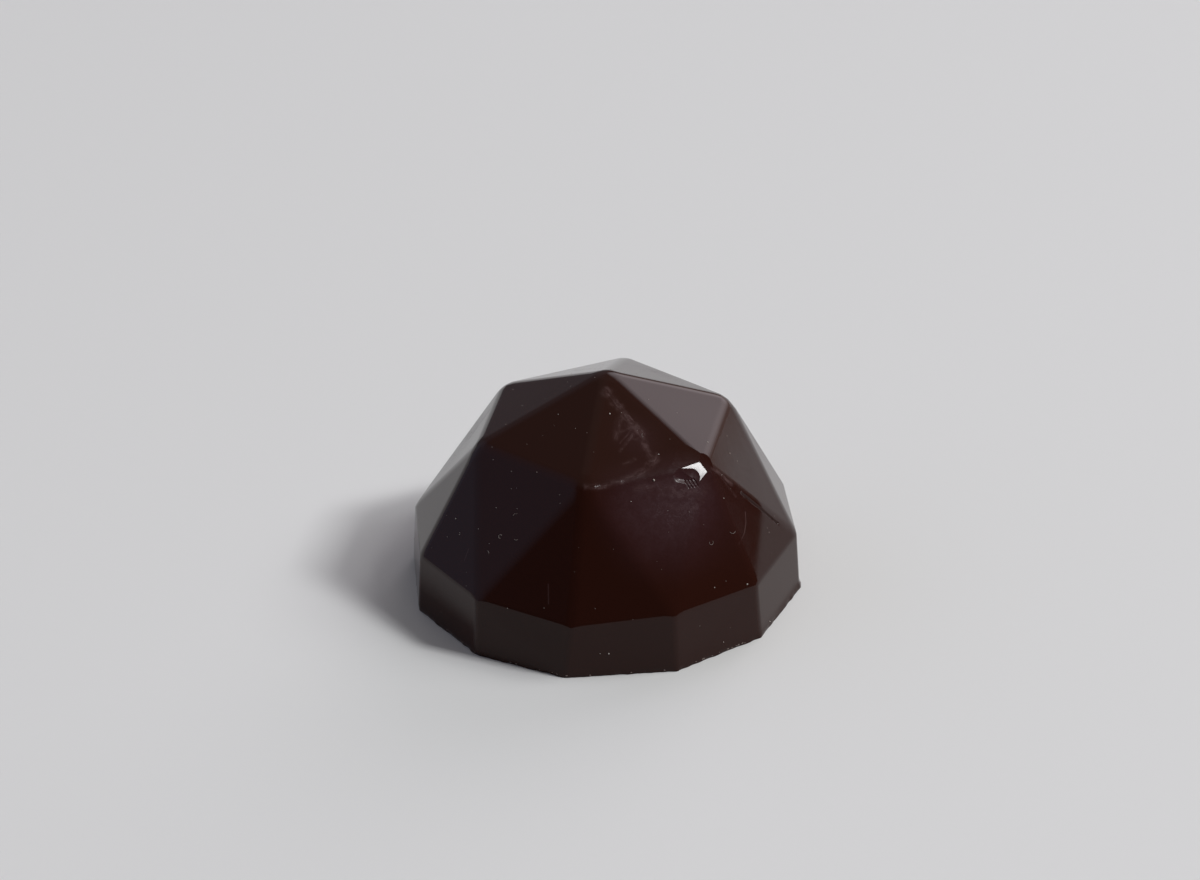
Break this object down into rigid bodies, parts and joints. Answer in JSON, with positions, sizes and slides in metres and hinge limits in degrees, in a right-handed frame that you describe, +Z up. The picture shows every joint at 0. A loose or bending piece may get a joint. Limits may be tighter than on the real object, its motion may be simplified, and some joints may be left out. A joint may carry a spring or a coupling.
{
  "type": "chocolate praline",
  "caption": "Solid moulded dark chocolate praline: a round dome cut with flat facets like a rose-cut stone, on a flat foot.",
  "frame": {"origin": "middle of the flat foot, on the surface that the praline rests on", "axes": "+Z up through the tip; -Y towards one corner of the crown ring and the belt corner below it"},
  "size_m": [0.029, 0.029, 0.0168],
  "materials": {
    "chocolate": "gloss"
  },
  "bodies": {
    "root": {"praline": "chocolate"}
  },
  "joints": []
}
